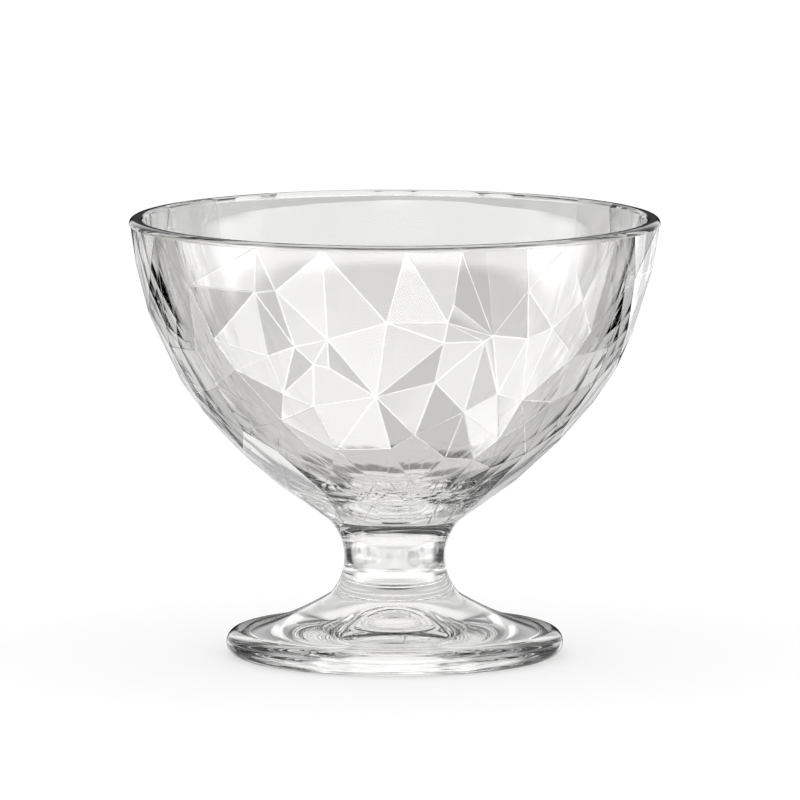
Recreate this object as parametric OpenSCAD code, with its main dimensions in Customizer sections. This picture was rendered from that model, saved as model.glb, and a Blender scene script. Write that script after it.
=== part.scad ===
// Footed ice cream glass: a deep faceted bowl on a short waisted stem and a round foot.
// The origin is the centre of the foot's resting plane and +Z runs up the axis. The front is -Y.

/* [Bowl] */
// Diameter over the lip
rim_d = 120; // [90:1:150]
// Height from the table to the top of the lip
total_h = 99.5; // [85:0.5:120]
// Thickness of the wall at the lip
lip_w = 3.4; // [2.8:0.1:5]
// Radius of the bead that rounds the lip's outer edge
lip_bead_r = 1.25; // [0.8:0.05:1.6]
// Height of the hollow's lowest point above the table
hollow_floor_z = 35.8; // [34:0.1:40]
// Diameter of the faceted wall where it meets the collar
wall_low_d = 30.6; // [28:0.1:34]
// Height of the faceted wall's lower end above the table
wall_low_z = 31.2; // [29:0.1:33]
// Times that the pattern of facets is repeated round the wall
pattern_repeats = 3; // [3:1:5]

/* [Stem] */
// Diameter of the stem at its waist
waist_d = 22.8; // [18:0.1:28]
// Height of the waist above the table
waist_z = 22.3; // [20:0.1:24]
// Radius of the hollow curve that shapes the waist
waist_curve_r = 12.5; // [11:0.1:15]
// Height of the stem's upper end, where the bowl sits
stem_top_z = 26; // [25:0.1:28]
// Height of the stem's lower end, where it sits on the foot
stem_low_z = 16; // [15:0.1:18]

/* [Foot] */
// Diameter over the foot's edge
foot_d = 76.2; // [60:0.2:90]
// Radius of the foot's round edge
foot_edge_r = 3; // [2:0.1:4]
// Width of the flat ring that stands on the table
rest_w = 1.5; // [1:0.1:3]
// Height of the recess under the foot at its outer end
recess_low_h = 1.4; // [0.8:0.1:2]
// Height of the recess where its dome starts
recess_high_h = 3.6; // [2.5:0.1:4.5]
// Diameter of the dome in the middle of the recess
dome_d = 20; // [14:0.5:24]
// Height that the dome rises above the recess
dome_h = 3; // [1:0.1:4]

/* [Hidden] */
$fn = 96;

rim_r = rim_d / 2;
foot_r = foot_d / 2;
waist_r = waist_d / 2;
facet_top_z = total_h - lip_bead_r;
facet_h = facet_top_z - wall_low_z;
sector = 360 / pattern_repeats;
// The facets' upper corners lie this far inside the lip's bead
facet_inset = 0.2;
// Cuts run past the lip by this much
overrun = 2;

// The outer wall's curve: the part that leans out evenly, and the power of the part that fills out
wall_lean_share = 0.2;
wall_fullness = 2.6;
// The hollow's curve has a flat floor and steepens to the lip by this power
hollow_fullness = 1.62;
// The foot's upper side falls from the stem to the edge by this power
foot_fall = 1.6;
curve_steps = 28;

// Corners of the facets in one repeat of the pattern, each as a share of the repeat's turn from its
// middle, then a share of the faceted wall's height. A third number moves the corner into the glass,
// or out if it is negative, by that share of the lip's width.
corner_shares = [
    // Along the lip
    [-0.465, 1], [-0.260, 1], [-0.130, 1], [0.020, 1], [0.120, 1], [0.165, 1, 0.05], [0.245, 1],
    [0.335, 1], [0.465, 1],
    // The upper row, whose corners point down from the lip
    [-0.435, 0.85], [-0.270, 0.85], [-0.225, 0.86], [-0.015, 0.76], [0.100, 0.76], [0.110, 0.82, 0.05],
    [0.190, 0.71, -0.15], [0.255, 0.86], [0.390, 0.81],
    // The row at the wall's shoulder
    [-0.470, 0.62], [-0.395, 0.67], [-0.265, 0.63, 0.05], [-0.200, 0.67], [-0.165, 0.61], [-0.130, 0.70],
    [-0.135, 0.60, 0.08], [0.095, 0.69], [0.175, 0.69, -0.1], [0.270, 0.69], [0.325, 0.72], [0.405, 0.61],
    [0.435, 0.69],
    // The middle row
    [-0.450, 0.50], [-0.360, 0.57], [-0.250, 0.50, -0.1], [-0.185, 0.46], [-0.040, 0.50], [0.085, 0.55, 0.17],
    [0.160, 0.44], [0.230, 0.50], [0.300, 0.47], [0.400, 0.45],
    // The row where the wall turns in
    [-0.450, 0.34], [-0.285, 0.40], [-0.160, 0.30], [-0.010, 0.31], [0.050, 0.36], [0.145, 0.27],
    [0.235, 0.26, -0.1], [0.285, 0.33], [0.345, 0.38],
    // The lower rows
    [-0.365, 0.28], [-0.205, 0.22], [0.325, 0.22], [0.440, 0.26],
    [-0.300, 0.13], [-0.090, 0.10], [-0.035, 0.14], [0.065, 0.16], [0.200, 0.12], [0.320, 0.11],
    [0.450, 0.12],
    // Round the collar
    [-0.417, 0], [-0.250, 0], [-0.083, 0], [0.083, 0], [0.250, 0], [0.417, 0]
];

// Radius of the outer wall's curve at a share of the faceted wall's height
function wall_r(share) =
    let (lean = wall_lean_share * share,
         full = (1 - wall_lean_share) * (1 - pow(1 - share, wall_fullness)))
    wall_low_d / 2 + (rim_r - facet_inset - wall_low_d / 2) * (lean + full);

// Radius of the hollow at a share of its height
function hollow_r(share) = (rim_r - lip_w) * sqrt(1 - pow(1 - share, hollow_fullness));

// Radius of the waist's curve at a height above the table
function waist_r_at(z) =
    waist_r + waist_curve_r - sqrt(pow(waist_curve_r, 2) - pow(z - waist_z, 2));

// A place on the rim of a circle that stands beside the axis
function on_arc(centre, radius, angle) = centre + radius * [cos(angle), sin(angle)];

// The waist's curve between two heights, from the lower end up
function waist_points(low_z, high_z) =
    [for (i = [0:curve_steps])
        let (z = low_z + (high_z - low_z) * i / curve_steps) [waist_r_at(z), z]];

module facets() {
    corners = [
        for (turn = [0:pattern_repeats - 1], corner = corner_shares)
            let (angle = sector * (turn + corner[0]) - 90,
                 sink = len(corner) > 2 ? lip_w * corner[2] : 0,
                 r = wall_r(corner[1]) - sink)
            [r * cos(angle), r * sin(angle), wall_low_z + facet_h * corner[1]]
    ];
    hull() polyhedron(points = corners, faces = [[for (i = [0:len(corners) - 1]) i]]);
}

// A disc whose outer edge is the lip's bead, solid until the hollow is cut
module lip() {
    centre = [rim_r - lip_bead_r, total_h - lip_bead_r];
    rotate_extrude() polygon(concat(
        [[0, centre[1] - lip_bead_r]],
        [for (angle = [-90:10:90]) on_arc(centre, lip_bead_r, angle)],
        [[0, total_h]]
    ));
}

// The space inside the bowl, with the round of the lip's inner edge
module hollow() {
    hollow_h = facet_top_z - hollow_floor_z;
    inner_edge = [rim_r - lip_w + lip_bead_r, facet_top_z];
    rotate_extrude() polygon(concat(
        [for (i = [0:curve_steps]) let (share = pow(i / curve_steps, 2))
            [hollow_r(share), hollow_floor_z + hollow_h * share]],
        [for (angle = [170:-10:90]) on_arc(inner_edge, lip_bead_r, angle)],
        [[inner_edge[0], total_h + overrun], [0, total_h + overrun]]
    ));
}

// The round neck under the facets, which runs on into the waist
module collar() {
    rotate_extrude() polygon(concat(
        [[0, stem_top_z]],
        waist_points(stem_top_z, wall_low_z),
        [[0, wall_low_z]]
    ));
}

module bowl() {
    color("aliceblue", 0.5)
    difference() {
        union() {
            facets();
            lip();
            collar();
        }
        hollow();
    }
}

module stem() {
    color("lightcyan", 0.5)
    rotate_extrude() polygon(concat(
        [[0, stem_low_z]],
        waist_points(stem_low_z, stem_top_z),
        [[0, stem_top_z]]
    ));
}

module foot() {
    edge = [foot_r - foot_edge_r, foot_edge_r];
    // The upper side meets the round edge at this angle above its centre
    edge_angle = 77;
    shoulder = on_arc(edge, foot_edge_r, edge_angle);
    // The waist's curve turns through this angle from the waist to the foot's upper side
    hub_angle = 42;
    hub_z = waist_z - waist_curve_r * sin(hub_angle);
    hub_r = waist_r_at(hub_z);
    rest_r = edge[0] - rest_w;
    dome_r = dome_d / 2;
    // Radius of the sphere that the dome is part of
    dome_ball_r = (pow(dome_r, 2) + pow(dome_h, 2)) / (2 * dome_h);
    color("azure", 0.5)
    difference() {
        rotate_extrude() polygon(concat(
            [[0, 0]],
            [for (angle = [-90:10:60]) on_arc(edge, foot_edge_r, angle)],
            [for (i = [0:curve_steps])
                let (share = i / curve_steps)
                [shoulder[0] + (hub_r - shoulder[0]) * share,
                 shoulder[1] + (hub_z - shoulder[1]) * pow(share, foot_fall)]],
            waist_points(hub_z, stem_low_z),
            [[0, stem_low_z]]
        ));
        rotate_extrude() polygon(concat(
            [[0, -overrun], [rest_r, -overrun], [rest_r, 0],
             [rest_r - recess_low_h, recess_low_h], [dome_r, recess_high_h]],
            [for (i = [1:curve_steps])
                let (r = dome_r * (1 - i / curve_steps))
                [r, recess_high_h + dome_h - dome_ball_r + sqrt(pow(dome_ball_r, 2) - r * r)]]
        ));
    }
}

bowl();
stem();
foot();
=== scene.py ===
from math import cos, pi, radians, sin, sqrt

import bmesh
import bpy
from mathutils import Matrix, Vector


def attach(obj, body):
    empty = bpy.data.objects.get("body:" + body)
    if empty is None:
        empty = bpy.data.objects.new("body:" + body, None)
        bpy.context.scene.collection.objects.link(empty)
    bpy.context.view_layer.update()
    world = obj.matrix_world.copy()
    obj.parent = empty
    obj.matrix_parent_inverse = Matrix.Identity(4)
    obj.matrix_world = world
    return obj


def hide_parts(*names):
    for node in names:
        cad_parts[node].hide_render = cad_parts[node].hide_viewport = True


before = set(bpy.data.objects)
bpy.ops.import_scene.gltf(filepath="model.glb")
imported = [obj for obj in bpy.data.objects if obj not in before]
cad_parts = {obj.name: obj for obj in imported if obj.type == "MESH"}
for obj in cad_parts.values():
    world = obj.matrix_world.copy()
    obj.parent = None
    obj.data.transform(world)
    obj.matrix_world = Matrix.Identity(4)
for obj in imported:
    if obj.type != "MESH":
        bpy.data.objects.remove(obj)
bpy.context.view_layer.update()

# Camera. A long lens three metres off, a little above the rim's plane, as the picture was taken.
# It looks at the axis from the glass's front, -Y.
eye_far = 3.0
eye_rise = radians(7.2)
eye_from = Vector((0, 0, 0.050))
look_at = Vector((0.0012, 0, 0.0580))
film_w = 36
lens_length = 597
sight_end = 30
camera_data = bpy.data.cameras.new("Camera")
camera_data.sensor_width = film_w
camera_data.lens = lens_length
camera_data.clip_end = sight_end
camera = bpy.data.objects.new("Camera", camera_data)
camera.location = eye_from + eye_far * Vector((0, -cos(eye_rise), sin(eye_rise)))
camera.rotation_euler = (look_at - camera.location).to_track_quat("-Z", "Y").to_euler()
bpy.context.collection.objects.link(camera)
bpy.context.scene.camera = camera

# Studio. The camera sees plain white paper. Round the glass hang pale panels with dark flags
# between them, which the glass bends into its dark edges. Its facets mirror a bright tent with
# small cards.
bpy.context.scene.view_settings.view_transform = "Standard"
# A ray turns many times inside the glass, and with Blender's own limits parts of the foot are black
most_turns, most_mirrorings = 20, 7
bpy.context.scene.cycles.max_bounces = most_turns
bpy.context.scene.cycles.glossy_bounces = most_mirrorings
bpy.context.scene.cycles.transmission_bounces = most_turns
world = bpy.data.worlds.new("studio")
bpy.context.scene.world = world
world.use_nodes = True
tree = world.node_tree
tree.nodes.clear()


def put(where, socket, value):
    """Joins a socket to another one, or gives it a value."""
    if isinstance(value, bpy.types.NodeSocket):
        where.links.new(value, socket)
    else:
        socket.default_value = value


def calc(what, a, b=0.0, c=0.0, where=None):
    """One step of arithmetic, as a node."""
    step = (where or tree).nodes.new("ShaderNodeMath")
    step.operation = what
    for socket, value in zip(step.inputs, (a, b, c)):
        put(where or tree, socket, value)
    return step.outputs[0]


def ramp(value, low, high, at_low=0.0, at_high=1.0):
    """Goes smoothly from at_low to at_high while the value goes from low to high."""
    step = tree.nodes.new("ShaderNodeMapRange")
    step.interpolation_type = "SMOOTHSTEP"
    for name, given_value in (("Value", value), ("From Min", low), ("From Max", high),
                              ("To Min", at_low), ("To Max", at_high)):
        put(tree, step.inputs[name], given_value)
    return step.outputs[0]


def towards(azimuth, elevation):
    """A direction from the glass. Azimuth 0 is straight behind it, and 90 is at its right."""
    a, e = radians(azimuth), radians(elevation)
    return Vector((sin(a) * cos(e), cos(a) * cos(e), sin(e)))


# A soft round patch of the surroundings: its level inside its full radius, and 0 past its outer one
patch = bpy.data.node_groups.new("soft_patch", "ShaderNodeTree")
for name, kind in (("Ray", "NodeSocketVector"), ("Centre", "NodeSocketVector"),
                   ("Full", "NodeSocketFloat"), ("Outer", "NodeSocketFloat"),
                   ("Level", "NodeSocketFloat")):
    patch.interface.new_socket(name, in_out="INPUT", socket_type=kind)
patch.interface.new_socket("Value", in_out="OUTPUT", socket_type="NodeSocketFloat")
given = patch.nodes.new("NodeGroupInput").outputs
dot = patch.nodes.new("ShaderNodeVectorMath")
dot.operation = "DOT_PRODUCT"
put(patch, dot.inputs[0], given["Ray"])
put(patch, dot.inputs[1], given["Centre"])
fall = patch.nodes.new("ShaderNodeMapRange")
fall.interpolation_type = "SMOOTHSTEP"
put(patch, fall.inputs["Value"], dot.outputs["Value"])
for name, radius in (("From Min", given["Outer"]), ("From Max", given["Full"])):
    put(patch, fall.inputs[name],
        calc("COSINE", calc("RADIANS", radius, where=patch), where=patch))
put(patch, patch.nodes.new("NodeGroupOutput").inputs["Value"],
    calc("MULTIPLY", fall.outputs["Result"], given["Level"], where=patch))


def add_patch(total, direction, azimuth, elevation, full, outer, level):
    """Adds a soft patch, with its place and radii in degrees, to what is there already."""
    spot = tree.nodes.new("ShaderNodeGroup")
    spot.node_tree = patch
    for name, value in (("Ray", direction), ("Centre", towards(azimuth, elevation)),
                        ("Full", full), ("Outer", outer), ("Level", level)):
        put(tree, spot.inputs[name], value)
    return calc("ADD", total, spot.outputs["Value"])


# The way a ray goes: ray is its direction, height the sine of its elevation, and compass its
# direction seen from above
path = tree.nodes.new("ShaderNodeLightPath").outputs
ray = tree.nodes.new("ShaderNodeTexCoord").outputs["Generated"]
split = tree.nodes.new("ShaderNodeSeparateXYZ")
put(tree, split.inputs[0], ray)
height = split.outputs["Z"]
level_ray = tree.nodes.new("ShaderNodeCombineXYZ")
put(tree, level_ray.inputs["X"], split.outputs["X"])
put(tree, level_ray.inputs["Y"], split.outputs["Y"])
round_ray = tree.nodes.new("ShaderNodeVectorMath")
round_ray.operation = "NORMALIZE"
put(tree, round_ray.inputs[0], level_ray.outputs[0])
compass = round_ray.outputs[0]

# What a ray meets that the glass bends: pale panels, brighter low down and high up. Upright flags
# darken them from one height to another. Each patch here and below has its azimuth and elevation,
# its full and outer radius in degrees, and how much light it gives or takes away.
panel_level, panel_least = 0.60, 0.02
low_fade, low_boost = (-0.76, -0.64), 0.20
high_fade, high_boost = (0.12, 0.32), 0.34
upright_foot, upright_top = (-0.76, -0.66), (0.46, 0.60)
upright_flags = [
    (62, 0, 11, 18, -0.56), (300, 0, 9, 26, -0.54), (127, 0, 12, 27, -0.46),
    (235, 0, 12, 27, -0.46),
]
panel_patches = [
    (157, -50, 6, 14, -0.45), (202, -50, 6, 14, -0.45), (180, -15, 20, 40, -0.40),
    (0, -31, 4, 10, -0.52), (18, -10, 4, 9, 0.20), (34, -8, 5, 10, 0.22), (342, -10, 4, 9, 0.20),
    (327, -8, 5, 9, 0.20), (95, -3, 12, 24, 0.48), (268, 3, 14, 25, 0.46),
    (270, -6, 12, 19, -0.52), (135, -15, 7, 15, 0.42), (315, -26, 6, 12, 0.40),
]
panels = calc("ADD", panel_level, ramp(height, *low_fade, low_boost, 0.0))
panels = calc("ADD", panels, ramp(height, *high_fade, 0.0, high_boost))
upright = calc("MULTIPLY", ramp(height, *upright_foot), ramp(height, *upright_top, 1.0, 0.0))
for flag_patch in upright_flags:
    flag = add_patch(0.0, compass, *flag_patch)
    panels = calc("ADD", panels, calc("MULTIPLY", flag, upright))
for panel_patch in panel_patches:
    panels = add_patch(panels, ray, *panel_patch)
panels = calc("MAXIMUM", panels, panel_least)

# What a ray meets that the glass mirrors: a bright tent round the camera's side, with dark cards
# and a few brighter spots. The far side is dim, which draws the outlines, with a paler glow in it.
tent_level, far_level = 6.2, 0.30
tent_spread = (180, 0, 85, 108, 1.0)
tent_top = (0.34, 0.50)
far_side = [
    (0, -4, 8, 35, 0.65), (0, 1, 8, 14, -1.5), (0, 24, 14, 36, 0.65), (45, -42, 4, 10, -0.3),
    (312, -16, 9, 18, -0.3), (48, -16, 9, 18, -0.3),
]
cards = [
    (141, -26, 3, 8, -6.0), (147, -39, 2.5, 7, -3.0), (111, -31, 2, 7, -4.5),
    (168, -58, 1.5, 5.5, -6.0), (206, -54, 1.5, 5.5, -5.0), (143, -69, 2, 6, -7.0),
    (122, -56, 2, 7, -4.0), (88, -74, 4, 9, -6.5), (192, -79, 3.5, 8, -6.5),
    (193, -22, 4, 9, -3.0), (228, -17, 5, 10, -3.0), (243, -24, 3, 7, -4.5),
    (249, -35, 4, 8, -5.0), (245, -50, 2.5, 6, -5.0), (271, -24, 2.5, 6.5, -5.0),
    (162, -25, 3, 7, -1.5), (135, -15, 11, 19, -6.3), (168, -31, 2, 6, 2.0),
    (197, -50, 2, 6, 2.0), (220, -28, 3, 7, 2.0), (129, -24, 2, 6, 1.5), (80, -36, 4, 12, 3.0),
    (78, -63, 3, 7, 5.0), (45, -80, 3, 8, 5.0), (63, -19, 2, 6, 3.0), (180, -6, 6, 13, 1.5),
    (297, -28, 5, 9, 1.2), (338, -36, 6, 10, 1.5), (325, -25, 2, 5, 0.8),
    (332, -58, 2.5, 6, 4.0), (31, -54, 3, 7, 4.5), (42, -80, 2, 6, 4.0), (281, -62, 2, 5, 3.3),
    (5, -65, 3, 7, 1.7), (303, -60, 2, 5, 1.2), (46, -31, 2, 5, 1.2), (20, -10, 3, 7, 1.0),
    (327, -10, 3, 7, 0.7),
]
# A dark band runs round the tent, from a little below the glass's height to a little above it. Its
# upper half is there only at the sides, and it leaves out a round place behind the camera.
band_foot, band_middle, band_top = (-0.25, -0.17), (-0.12, -0.04), (0.02, 0.12)
band_top_gap = (180, 0, 62, 84, 1.0)
band_gap = (180, -7, 30, 50, 1.0)


def all_but(direction, gap):
    """1 everywhere but in a soft patch."""
    return calc("SUBTRACT", 1.0, add_patch(0.0, direction, *gap))


band_low = calc("MULTIPLY", ramp(height, *band_foot), ramp(height, *band_middle, 1.0, 0.0))
band_high = calc("MULTIPLY", ramp(height, *band_middle), ramp(height, *band_top, 1.0, 0.0))
band_high = calc("MULTIPLY", band_high, all_but(compass, band_top_gap))
band = calc("MULTIPLY", calc("ADD", band_low, band_high), all_but(ray, band_gap))
tent = calc("MULTIPLY", add_patch(0.0, compass, *tent_spread), calc("SUBTRACT", 1.0, band))
tent = calc("MULTIPLY", tent, ramp(height, *tent_top, 1.0, 0.0))
mirrored = calc("MULTIPLY_ADD", tent, tent_level, far_level)
for tent_patch in far_side + cards:
    mirrored = add_patch(mirrored, ray, *tent_patch)
mirrored = calc("MAXIMUM", mirrored, 0.0)

# Rays from the camera and from the paper meet plain white
through = path["Is Transmission Ray"]
bounced = calc("MAXIMUM", calc("SUBTRACT", path["Is Glossy Ray"], through), 0.0)
light = calc("MULTIPLY_ADD", through, calc("SUBTRACT", panels, 1.0), 1.0)
light = calc("MULTIPLY_ADD", bounced, calc("SUBTRACT", mirrored, 1.0), light)
background = tree.nodes.new("ShaderNodeBackground")
put(tree, background.inputs["Color"], light)
out = tree.nodes.new("ShaderNodeOutputWorld")
put(tree, out.inputs["Surface"], background.outputs[0])

# Table. A wide sheet of plain white paper that the glass stands on. A slight glow that only the
# camera sees brings it to the picture's white, and the glass neither bends nor mirrors it.
floor_reach = 3.0
paper_white = (0.99, 0.99, 0.99, 1)
paper_lift = 0.05
floor_mesh = bpy.data.meshes.new("floor")
floor_mesh.from_pydata([(floor_reach * x, floor_reach * y, 0)
                        for x, y in ((-1, -1), (1, -1), (1, 1), (-1, 1))], [], [(0, 1, 2, 3)])
floor = bpy.data.objects.new("floor", floor_mesh)
bpy.context.collection.objects.link(floor)
paper = bpy.data.materials.new("white_paper")
paper.use_nodes = True
paper_tree = paper.node_tree
sheet = paper_tree.nodes["Principled BSDF"]
sheet.inputs["Base Color"].default_value = paper_white
sheet.inputs["Roughness"].default_value = 1.0
sheet.inputs["Specular IOR Level"].default_value = 0.0
paper_path = paper_tree.nodes.new("ShaderNodeLightPath").outputs
lift = paper_tree.nodes.new("ShaderNodeEmission")
put(paper_tree, lift.inputs["Strength"],
    calc("MULTIPLY", paper_path["Is Camera Ray"], paper_lift, where=paper_tree))
both = paper_tree.nodes.new("ShaderNodeAddShader")
put(paper_tree, both.inputs[0], sheet.outputs[0])
put(paper_tree, both.inputs[1], lift.outputs[0])
put(paper_tree, paper_tree.nodes["Material Output"].inputs["Surface"], both.outputs[0])
floor_mesh.materials.append(paper)
floor.visible_transmission = False
floor.visible_glossy = False

# Foot. A round domed disc of pressed glass with a round edge, which stands on a narrow ring round
# the recess underneath.
mm = 0.001
foot_r = 38.1 * mm
foot_edge_r = 3.0 * mm
rest_w = 1.5 * mm
recess_low_h, recess_high_h = 1.4 * mm, 3.6 * mm
dome_r, dome_h = 10.0 * mm, 3.0 * mm
# The dome under the foot runs out softly into the recess
dome_reach = 1.7 * dome_r
waist_r, waist_z, waist_curve_r = 11.4 * mm, 22.3 * mm, 12.5 * mm
# The waist's curve turns through this angle down to the hub, and the foot's upper side then falls
# to its shoulder, which is this angle up the round edge
hub_angle, shoulder_angle = 42, 77
foot_fall = 1.6
turn_steps, recess_steps, edge_steps, hub_steps = 288, 48, 32, 40
clear = bpy.data.materials.new("clear_glass")


def waist_at(z):
    """The radius of the waist's hollow curve at a height."""
    return waist_r + waist_curve_r - sqrt(waist_curve_r ** 2 - (z - waist_z) ** 2)


def arc(centre, radius, first, last, steps):
    """Points on a circle from one angle to another, in degrees."""
    return [(centre[0] + radius * cos(radians(first + (last - first) * i / steps)),
             centre[1] + radius * sin(radians(first + (last - first) * i / steps)))
            for i in range(steps + 1)]


def lathe(name, profile):
    """A closed solid turned from (radius, height) points that start and end on the axis."""
    least_r = 1e-7
    turns = [2 * pi * i / turn_steps for i in range(turn_steps)]
    bm = bmesh.new()
    rings = []
    for r, h in profile:
        if r < least_r:
            rings.append([bm.verts.new((0, 0, h))])
        else:
            rings.append([bm.verts.new((r * cos(turn), r * sin(turn), h)) for turn in turns])
    for low, high in zip(rings, rings[1:]):
        for i in range(turn_steps):
            j = (i + 1) % turn_steps
            corners = [low[i % len(low)], low[j % len(low)],
                       high[j % len(high)], high[i % len(high)]]
            face = bm.faces.new(list(dict.fromkeys(corners)))
            face.smooth = True
    bmesh.ops.recalc_face_normals(bm, faces=bm.faces)
    mesh = bpy.data.meshes.new(name)
    bm.to_mesh(mesh)
    bm.free()
    mesh.materials.append(clear)
    piece = bpy.data.objects.new(name, mesh)
    bpy.context.collection.objects.link(piece)
    return piece


edge = (foot_r - foot_edge_r, foot_edge_r)
shoulder_r, shoulder_z = arc(edge, foot_edge_r, shoulder_angle, shoulder_angle, 1)[0]
hub_z = waist_z - waist_curve_r * sin(radians(hub_angle))
hub_r = waist_at(hub_z)
rest_r = edge[0] - rest_w
recess_r = rest_r - recess_low_h


def recess_at(r):
    """How far above the table the foot's underside is at a radius."""
    out_share = max(r - dome_r, 0) / (recess_r - dome_r)
    slope = recess_low_h + (recess_high_h - recess_low_h) * (1 - out_share)
    return slope + dome_h * (0.5 + 0.5 * cos(pi * min(r / dome_reach, 1)))


recess_radii = [recess_r * i / recess_steps for i in range(recess_steps + 1)]
foot_profile = (
    [(r, recess_at(r)) for r in recess_radii]
    + [(rest_r, 0)]
    + arc(edge, foot_edge_r, -90, shoulder_angle, edge_steps)
    + [(shoulder_r + (hub_r - shoulder_r) * i / hub_steps,
        shoulder_z + (hub_z - shoulder_z) * (i / hub_steps) ** foot_fall)
       for i in range(1, hub_steps + 1)]
)

# Stem. The short waist that the same pour of glass makes between the foot and the bowl. It carries
# on the foot's profile, and its top widens into the neck under the facets.
neck_top_z = 31.2 * mm
stem_steps = 72
stem_heights = [hub_z + (neck_top_z - hub_z) * i / stem_steps for i in range(1, stem_steps + 1)]
stem_profile = [(waist_at(z), z) for z in stem_heights]
base = lathe("base", foot_profile + stem_profile + [(0, neck_top_z)])

# Bowl wall. Flat facets with softly rounded edges, pressed by the mould. The corners of one repeat
# are turned three times round the axis, and the facets are the hull of all of them.
rim_r = 60.0 * mm
total_h = 99.5 * mm
lip_w = 3.4 * mm
lip_bead_r = 1.25 * mm
wall_low_r, wall_low_z = 15.3 * mm, neck_top_z
facet_inset = 0.2 * mm
facet_top_z = total_h - lip_bead_r
# One part of the wall leans out evenly, and the rest fills out by this power
wall_lean_share, wall_fullness = 0.2, 2.6
pattern_repeats = 3
# Each corner is a share of the repeat's turn from its middle and a share of the wall's height. A
# third number moves it into the glass, or out if it is negative, by that share of the lip's width.
corner_shares = [
    # Along the lip
    (-0.465, 1), (-0.260, 1), (-0.130, 1), (0.020, 1), (0.120, 1), (0.165, 1, 0.05), (0.245, 1),
    (0.335, 1), (0.465, 1),
    # The upper row, whose corners point down from the lip
    (-0.435, 0.85), (-0.270, 0.85), (-0.225, 0.86), (-0.015, 0.76), (0.100, 0.76),
    (0.110, 0.82, 0.05), (0.190, 0.71, -0.15), (0.255, 0.86), (0.390, 0.81),
    # The row at the wall's shoulder
    (-0.470, 0.62), (-0.395, 0.67), (-0.265, 0.63, 0.05), (-0.200, 0.67), (-0.165, 0.61),
    (-0.130, 0.70), (-0.135, 0.60, 0.08), (0.095, 0.69), (0.175, 0.69, -0.1), (0.270, 0.69),
    (0.325, 0.72), (0.405, 0.61), (0.435, 0.69),
    # The middle row
    (-0.450, 0.50), (-0.360, 0.57), (-0.250, 0.50, -0.1), (-0.185, 0.46), (-0.040, 0.50),
    (0.085, 0.55, 0.17), (0.160, 0.44), (0.230, 0.50), (0.300, 0.47), (0.400, 0.45),
    # The row where the wall turns in
    (-0.450, 0.34), (-0.285, 0.40), (-0.160, 0.30), (-0.010, 0.31), (0.050, 0.36), (0.145, 0.27),
    (0.235, 0.26, -0.1), (0.285, 0.33), (0.345, 0.38),
    # The lower rows
    (-0.365, 0.28), (-0.205, 0.22), (0.325, 0.22), (0.440, 0.26),
    (-0.300, 0.13), (-0.090, 0.10), (-0.035, 0.14), (0.065, 0.16), (0.200, 0.12), (0.320, 0.11),
    (0.450, 0.12),
    # Round the neck
    (-0.417, 0), (-0.250, 0), (-0.083, 0), (0.083, 0), (0.250, 0), (0.417, 0),
]


def wall_at(share):
    """The outer wall's radius at a share of its height."""
    lean = wall_lean_share * share + (1 - wall_lean_share) * (1 - (1 - share) ** wall_fullness)
    return wall_low_r + (rim_r - facet_inset - wall_low_r) * lean


corner_points = []
for turn_share, height_share, *sink_share in corner_shares:
    angle = radians(360 / pattern_repeats * turn_share - 90)
    r = wall_at(height_share) - (lip_w * sink_share[0] if sink_share else 0)
    corner_points.append((r * cos(angle), r * sin(angle),
                          wall_low_z + (facet_top_z - wall_low_z) * height_share))
corner_mesh = bpy.data.meshes.new("corners")
corner_mesh.from_pydata(corner_points, [], [])
glass = bpy.data.objects.new("glass", corner_mesh)
bpy.context.collection.objects.link(glass)

turned = bpy.data.node_groups.new("turned_facets", "GeometryNodeTree")
turned.interface.new_socket("Corners", in_out="INPUT", socket_type="NodeSocketGeometry")
repeats_input = turned.interface.new_socket("Repeats", in_out="INPUT", socket_type="NodeSocketInt")
finish_input = turned.interface.new_socket("Finish", in_out="INPUT",
                                           socket_type="NodeSocketMaterial")
turned.interface.new_socket("Facets", in_out="OUTPUT", socket_type="NodeSocketGeometry")
given = turned.nodes.new("NodeGroupInput").outputs
places = turned.nodes.new("GeometryNodePoints")
put(turned, places.inputs["Count"], given["Repeats"])
one_turn = calc("DIVIDE", 2 * pi, given["Repeats"], where=turned)
index = turned.nodes.new("GeometryNodeInputIndex").outputs[0]
euler = turned.nodes.new("ShaderNodeCombineXYZ")
put(turned, euler.inputs["Z"], calc("MULTIPLY", index, one_turn, where=turned))
rotation = turned.nodes.new("FunctionNodeEulerToRotation")
put(turned, rotation.inputs[0], euler.outputs[0])
set_round = turned.nodes.new("GeometryNodeInstanceOnPoints")
put(turned, set_round.inputs["Points"], places.outputs[0])
put(turned, set_round.inputs["Instance"], given["Corners"])
put(turned, set_round.inputs["Rotation"], rotation.outputs[0])
real = turned.nodes.new("GeometryNodeRealizeInstances")
put(turned, real.inputs[0], set_round.outputs[0])
skin = turned.nodes.new("GeometryNodeConvexHull")
put(turned, skin.inputs[0], real.outputs[0])
glazed = turned.nodes.new("GeometryNodeSetMaterial")
put(turned, glazed.inputs["Geometry"], skin.outputs[0])
put(turned, glazed.inputs["Material"], given["Finish"])
put(turned, turned.nodes.new("NodeGroupOutput").inputs[0], glazed.outputs[0])
facet_maker = glass.modifiers.new("turned_facets", "NODES")
facet_maker.node_group = turned
facet_maker[repeats_input.identifier] = pattern_repeats
facet_maker[finish_input.identifier] = clear


def settle(piece, modifier):
    """Turns what a modifier makes into the piece's own plain mesh."""
    bpy.context.view_layer.update()
    evaluated = piece.evaluated_get(bpy.context.evaluated_depsgraph_get())
    made = bpy.data.meshes.new_from_object(evaluated)
    piece.modifiers.remove(modifier)
    piece.data = made


settle(glass, facet_maker)

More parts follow.
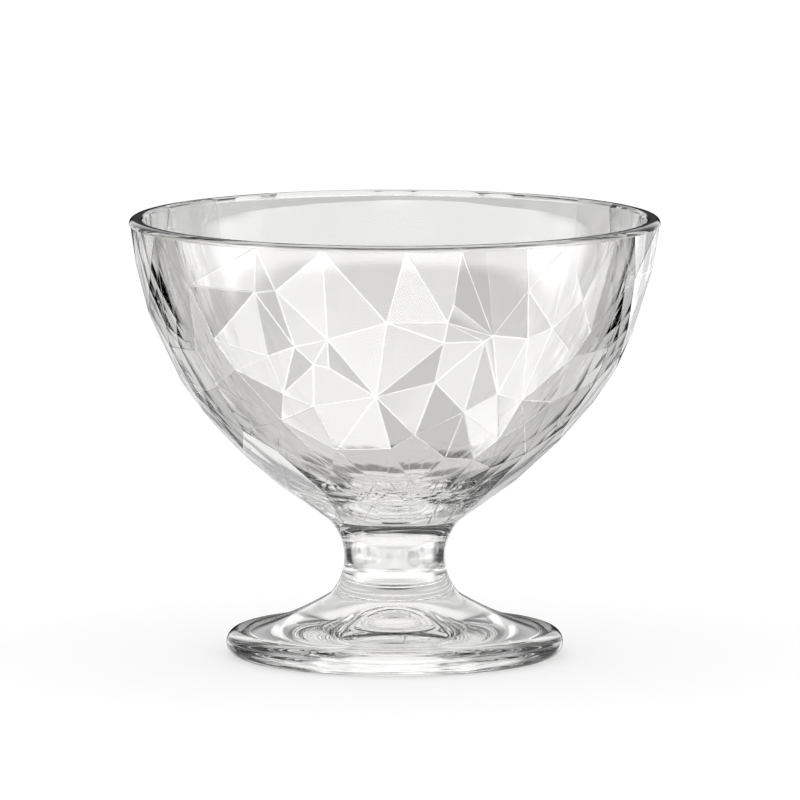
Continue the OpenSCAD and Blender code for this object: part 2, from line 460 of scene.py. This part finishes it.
# Ridges. The mould leaves a fine round bead of glass along each edge between two facets. It is made
# as a narrow rounded strip that is then raised, and it has a more mirroring finish of its own.
strip_w, strip_steps, strip_round = 0.20 * mm, 4, 0.5
ridge_h, ridge_side_share = 0.045 * mm, 0.75
flat_angle, ridge_angle = radians(0.4), radians(1.0)
level_gap = 1e-6


def is_ridge(e):
    """Whether an edge bends clearly between two facets, and isn't a level one at the wall's end."""
    start_z, end_z = (v.co.z for v in e.verts)
    off_end = abs(start_z - end_z) + min(abs(start_z - facet_top_z), abs(start_z - wall_low_z))
    return len(e.link_faces) == 2 and e.calc_face_angle() > ridge_angle and off_end > level_gap


bm = bmesh.new()
bm.from_mesh(glass.data)
bmesh.ops.dissolve_limit(bm, angle_limit=flat_angle, verts=bm.verts, edges=bm.edges)
rounded = bmesh.ops.bevel(bm, geom=[e for e in bm.edges if is_ridge(e)], offset=strip_w,
                          offset_type="OFFSET", segments=strip_steps, profile=strip_round,
                          affect="EDGES", clamp_overlap=True)
bmesh.ops.recalc_face_normals(bm, faces=bm.faces)
bm.normal_update()
strips = set(rounded["faces"])
crown = {v for face in strips for v in face.verts if all(f in strips for f in v.link_faces)}
middle = {v for v in crown if all(e.other_vert(v) in crown for e in v.link_edges)}
for v in crown:
    v.co += v.normal * (ridge_h if v in middle else ridge_side_share * ridge_h)
polished = bpy.data.materials.new("ridge_glass")
glass.data.materials.clear()
glass.data.materials.append(clear)
glass.data.materials.append(polished)
for face in bm.faces:
    face.material_index = 1 if face in strips else 0
bm.to_mesh(glass.data)
bm.free()


def carve(piece, other, what):
    """Joins another solid to the piece, or takes it out of the piece."""
    cut = piece.modifiers.new(what.lower(), "BOOLEAN")
    cut.operation = what
    cut.solver = "EXACT"
    cut.object = other
    settle(piece, cut)
    bpy.data.objects.remove(other)


# Lip. The wall's round upper edge, of the same glass, smoothed by a flame after pressing. Its outer
# round starts a little below its centre, where the facets reach up to it.
lip_start_angle = -8
lip_steps = 16
lip_centre = (rim_r - lip_bead_r, total_h - lip_bead_r)
lip_low_z = lip_centre[1] + lip_bead_r * sin(radians(lip_start_angle))
lip_round = arc(lip_centre, lip_bead_r, lip_start_angle, 90, lip_steps)
lip = lathe("lip", [(0, lip_low_z)] + lip_round + [(0, total_h)])
carve(glass, lip, "UNION")
carve(glass, base, "UNION")

# Hollow. The smooth inside of the bowl, which the mould's plunger presses into the hot glass. It is
# cut out last, with the round of the lip's inner edge at its top.
hollow_floor_z = 35.8 * mm
hollow_fullness = 1.62
hollow_steps, inner_steps = 72, 12
over_rim_z = total_h + 2 * mm
hollow_h = facet_top_z - hollow_floor_z
inner_centre = (rim_r - lip_w + lip_bead_r, facet_top_z)
height_shares = [(i / hollow_steps) ** 2 for i in range(hollow_steps + 1)]
hollow_profile = (
    [((rim_r - lip_w) * sqrt(1 - (1 - share) ** hollow_fullness),
      hollow_floor_z + hollow_h * share) for share in height_shares]
    + arc(inner_centre, lip_bead_r, 180, 90, inner_steps)[1:]
    + [(inner_centre[0], over_rim_z), (0, over_rim_z)]
)
carve(glass, lathe("hollow", hollow_profile), "DIFFERENCE")

# The cuts leave some points almost on each other, and those become one
merge_gap = 0.002 * mm
bm = bmesh.new()
bm.from_mesh(glass.data)
bmesh.ops.remove_doubles(bm, verts=bm.verts, dist=merge_gap)
bm.to_mesh(glass.data)
bm.free()
# Large faces keep their own direction, so that each facet is flat up to its rounded ridge
sharp_angle = radians(25)
glass.data.set_sharp_from_angle(angle=sharp_angle)
even = glass.modifiers.new("even_shading", "WEIGHTED_NORMAL")
even.mode = "FACE_AREA"
even.keep_sharp = True
settle(glass, even)

# Glass. The whole piece is one pour of clear, colourless glass, with the slight waves that pressing
# leaves. Light falls through it almost whole, so that its shadow on the table stays faint, as under
# real glass.
glass_tint = (0.992, 0.986, 0.972, 1)
glass_ior = 1.5
ridge_coat, coat_roughness, coat_ior = 0.6, 0.05, 1.7
ripple_h, waves_per_metre, wave_detail = 0.05 * mm, 55.0, 1.0
shadow_pass = (0.97, 0.97, 0.97, 1)
ripple = bpy.data.node_groups.new("pressed_ripple", "ShaderNodeTree")
ripple.interface.new_socket("Waves per Metre", in_out="INPUT", socket_type="NodeSocketFloat")
ripple.interface.new_socket("Height", in_out="OUTPUT", socket_type="NodeSocketFloat")
swell = ripple.nodes.new("ShaderNodeTexNoise")
swell.inputs["Detail"].default_value = wave_detail
put(ripple, swell.inputs["Vector"], ripple.nodes.new("ShaderNodeTexCoord").outputs["Object"])
put(ripple, swell.inputs["Scale"], ripple.nodes.new("NodeGroupInput").outputs["Waves per Metre"])
put(ripple, ripple.nodes.new("NodeGroupOutput").inputs["Height"], swell.outputs["Fac"])
for finish, coat in ((clear, 0.0), (polished, ridge_coat)):
    finish.use_nodes = True
    finish_tree = finish.node_tree
    shader = finish_tree.nodes["Principled BSDF"]
    shader.inputs["Base Color"].default_value = glass_tint
    shader.inputs["Roughness"].default_value = 0.0
    shader.inputs["IOR"].default_value = glass_ior
    shader.inputs["Transmission Weight"].default_value = 1.0
    shader.inputs["Coat Weight"].default_value = coat
    shader.inputs["Coat Roughness"].default_value = coat_roughness
    shader.inputs["Coat IOR"].default_value = coat_ior
    waves = finish_tree.nodes.new("ShaderNodeGroup")
    waves.node_tree = ripple
    waves.inputs["Waves per Metre"].default_value = waves_per_metre
    bump = finish_tree.nodes.new("ShaderNodeBump")
    bump.inputs["Strength"].default_value = 1.0
    bump.inputs["Distance"].default_value = ripple_h
    put(finish_tree, bump.inputs["Height"], waves.outputs["Height"])
    put(finish_tree, shader.inputs["Normal"], bump.outputs["Normal"])
    pass_on = finish_tree.nodes.new("ShaderNodeBsdfTransparent")
    pass_on.inputs["Color"].default_value = shadow_pass
    choose = finish_tree.nodes.new("ShaderNodeMixShader")
    put(finish_tree, choose.inputs["Fac"],
        finish_tree.nodes.new("ShaderNodeLightPath").outputs["Is Shadow Ray"])
    put(finish_tree, choose.inputs[1], shader.outputs[0])
    put(finish_tree, choose.inputs[2], pass_on.outputs[0])
    put(finish_tree, finish_tree.nodes["Material Output"].inputs["Surface"], choose.outputs[0])
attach(glass, "root")
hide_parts("bowl", "stem", "foot")
